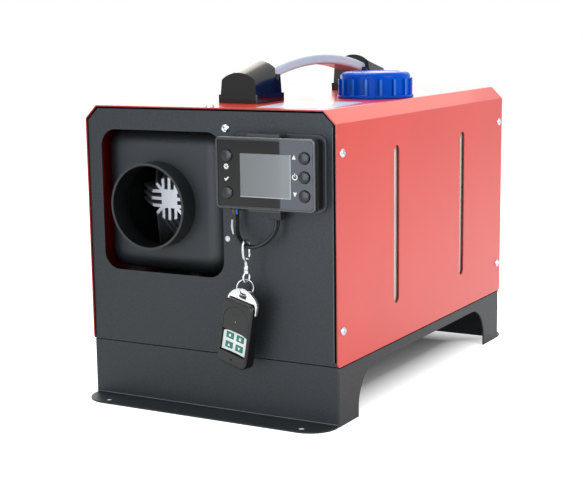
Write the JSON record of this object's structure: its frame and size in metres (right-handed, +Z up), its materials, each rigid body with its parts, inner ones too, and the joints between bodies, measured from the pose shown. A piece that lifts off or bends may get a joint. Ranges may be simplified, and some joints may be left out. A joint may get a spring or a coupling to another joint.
{
  "type": "portable diesel air heater",
  "caption": "Box-shaped portable diesel air heater: red cover on a charcoal base, front hot-air collar, wired control panel, blue filler cap, top handle and a hanging remote.",
  "frame": {"origin": "floor level, at the centre of the four floor bolts", "axes": "+Z up, +Y from the front with the hot-air collar to the rear, +X to the right seen from the front"},
  "size_m": [0.2668, 0.4451, 0.3176],
  "materials": {
    "red_enamel": "gloss",
    "charcoal_powder": "satin fine texture",
    "zinc": "bright zinc",
    "black_gloss": "gloss",
    "grip_grey": "satin",
    "tank_white": "translucent satin",
    "cap_blue": "satin",
    "seal_rubber": "matt",
    "heater_black": "fine grain",
    "cast_alloy": "cast",
    "pipe_steel": "plain",
    "motor_steel": "plain",
    "fan_plastic": "matt",
    "pump_black": "matt",
    "hose_clear": "clear",
    "controller_black": "satin",
    "cradle_grey": "satin",
    "window_black": "high gloss",
    "lcd_grey": "satin",
    "button_charcoal": "satin",
    "cable_black": "satin",
    "bright_chrome": "polished",
    "fob_black": "satin",
    "key_green": "satin"
  },
  "bodies": {
    "case": {"red_shell": "red_enamel", "front_panel": "charcoal_powder", "rear_panel": "charcoal_powder", "base_frame": "charcoal_powder", "case_screws": "zinc", "panel_rivet": "zinc", "power_gland": "pump_black", "handle_grip": "grip_grey", "handle_front_mount": "black_gloss", "handle_rear_mount": "black_gloss", "handle_bolts": "zinc", "fuel_tank": "tank_white", "tank_strap": "pump_black", "fuel_pump": "pump_black", "pump_clamp": "seal_rubber", "suction_hose": "hose_clear", "delivery_hose": "hose_clear", "heater_upper_shell": "heater_black", "heater_lower_shell": "heater_black", "outlet_cowl": "heater_black", "intake_cowl": "heater_black", "heat_exchanger": "cast_alloy", "burner_tube": "pipe_steel", "glow_plug": "pipe_steel", "exhaust_pipe": "pipe_steel", "combustion_air_pipe": "pump_black", "heater_gasket": "seal_rubber", "heater_stand": "pipe_steel", "blower_motor": "motor_steel", "control_unit": "pump_black", "controller_cradle": "cradle_grey", "controller_case": "controller_black", "controller_bezel": "controller_black", "controller_window": "window_black", "lcd_display": "lcd_grey", "controller_cable_a": "cable_black", "controller_cable_b": "cable_black", "cable_connector": "pump_black"},
    "fuel_cap_seal": {"cap_gasket": "seal_rubber"},
    "fuel_cap": {"filler_cap": "cap_blue"},
    "rotor": {"motor_shaft": "motor_steel", "warm_air_fan": "fan_plastic", "combustion_fan": "cast_alloy"},
    "pump_plunger": {"pump_plunger": "motor_steel"},
    "settings_button": {"settings_button": "button_charcoal"},
    "ok_button": {"ok_button": "button_charcoal"},
    "up_button": {"up_button": "button_charcoal"},
    "power_button": {"power_button": "button_charcoal"},
    "down_button": {"down_button": "button_charcoal"},
    "clasp_hook": {"clasp_hook": "bright_chrome"},
    "clasp_gate": {"clasp_gate": "bright_chrome"},
    "clasp_swivel": {"clasp_swivel": "bright_chrome"},
    "split_ring": {"split_ring": "bright_chrome"},
    "fob": {"fob_case": "fob_black", "fob_hanger": "bright_chrome"},
    "fob_slide_cover": {"fob_slide_cover": "fob_black"},
    "fob_key_1": {"fob_key_1": "key_green"},
    "fob_key_2": {"fob_key_2": "key_green"},
    "fob_key_3": {"fob_key_3": "key_green"},
    "fob_key_4": {"fob_key_4": "key_green"}
  },
  "joints": [
    {"name": "cap_lift", "type": "slide", "parent": "case", "child": "fuel_cap_seal", "axis": [0, 0, 1], "range_m": [0, 0.06]},
    {"name": "cap_turn", "type": "hinge", "parent": "fuel_cap_seal", "child": "fuel_cap", "pos_m": [0.0795, -0.0125, 0.29], "axis": [0, 0, 1], "continuous": true},
    {"name": "blower_spin", "type": "hinge", "parent": "case", "child": "rotor", "pos_m": [-0.063, 0.09, 0.188], "axis": [0, 1, 0], "continuous": true},
    {"name": "pump_stroke", "type": "slide", "parent": "case", "child": "pump_plunger", "axis": [0, 1, 0], "range_m": [0, 0.002], "stiffness_N_per_m": 800},
    {"name": "settings_button_press", "type": "slide", "parent": "case", "child": "settings_button", "axis": [0, 1, 0], "range_m": [0, 0.001], "stiffness_N_per_m": 400, "springref_m": -0.0005},
    {"name": "ok_button_press", "type": "slide", "parent": "case", "child": "ok_button", "axis": [0, 1, 0], "range_m": [0, 0.001], "stiffness_N_per_m": 400, "springref_m": -0.0005},
    {"name": "up_button_press", "type": "slide", "parent": "case", "child": "up_button", "axis": [0, 1, 0], "range_m": [0, 0.001], "stiffness_N_per_m": 400, "springref_m": -0.0005},
    {"name": "power_button_press", "type": "slide", "parent": "case", "child": "power_button", "axis": [0, 1, 0], "range_m": [0, 0.001], "stiffness_N_per_m": 400, "springref_m": -0.0005},
    {"name": "down_button_press", "type": "slide", "parent": "case", "child": "down_button", "axis": [0, 1, 0], "range_m": [0, 0.001], "stiffness_N_per_m": 400, "springref_m": -0.0005},
    {"name": "clasp_swing", "type": "hinge", "parent": "case", "child": "clasp_hook", "pos_m": [0.0504, -0.2125, 0.1573], "axis": [1, 0, 0], "range_deg": [-70, 1]},
    {"name": "gate_open", "type": "hinge", "parent": "clasp_hook", "child": "clasp_gate", "pos_m": [0.0504, -0.2068, 0.15], "axis": [1, 0, 0], "range_deg": [0, 22], "stiffness_Nm_per_rad": 0.01, "springref_deg": -5.73},
    {"name": "swivel_turn", "type": "hinge", "parent": "clasp_hook", "child": "clasp_swivel", "pos_m": [0.0504, -0.2125, 0.1374], "axis": [0, 0, 1], "range_deg": [-3, 60]},
    {"name": "ring_swing", "type": "hinge", "parent": "clasp_swivel", "child": "split_ring", "pos_m": [0.0504, -0.2125, 0.1291], "axis": [0.848, 0.5299, 0], "range_deg": [-50, 1.5]},
    {"name": "fob_swing", "type": "hinge", "parent": "split_ring", "child": "fob", "pos_m": [0.04804, -0.21398, 0.11477], "axis": [0.8325, 0.5202, -0.1908], "range_deg": [-20, 1.5]},
    {"name": "cover_slide", "type": "slide", "parent": "fob", "child": "fob_slide_cover", "axis": [-0.1866, 0.0397, -0.9816], "range_m": [0, 0.02]},
    {"name": "key_1_press", "type": "slide", "parent": "fob", "child": "fob_key_1", "axis": [0.2079, 0.9781, 0], "range_m": [0, 0.0004], "stiffness_N_per_m": 300, "springref_m": -0.0004},
    {"name": "key_2_press", "type": "slide", "parent": "fob", "child": "fob_key_2", "axis": [0.2079, 0.9781, 0], "range_m": [0, 0.0004], "stiffness_N_per_m": 300, "springref_m": -0.0004},
    {"name": "key_3_press", "type": "slide", "parent": "fob", "child": "fob_key_3", "axis": [0.2079, 0.9781, 0], "range_m": [0, 0.0004], "stiffness_N_per_m": 300, "springref_m": -0.0004},
    {"name": "key_4_press", "type": "slide", "parent": "fob", "child": "fob_key_4", "axis": [0.2079, 0.9781, 0], "range_m": [0, 0.0004], "stiffness_N_per_m": 300, "springref_m": -0.0004}
  ]
}
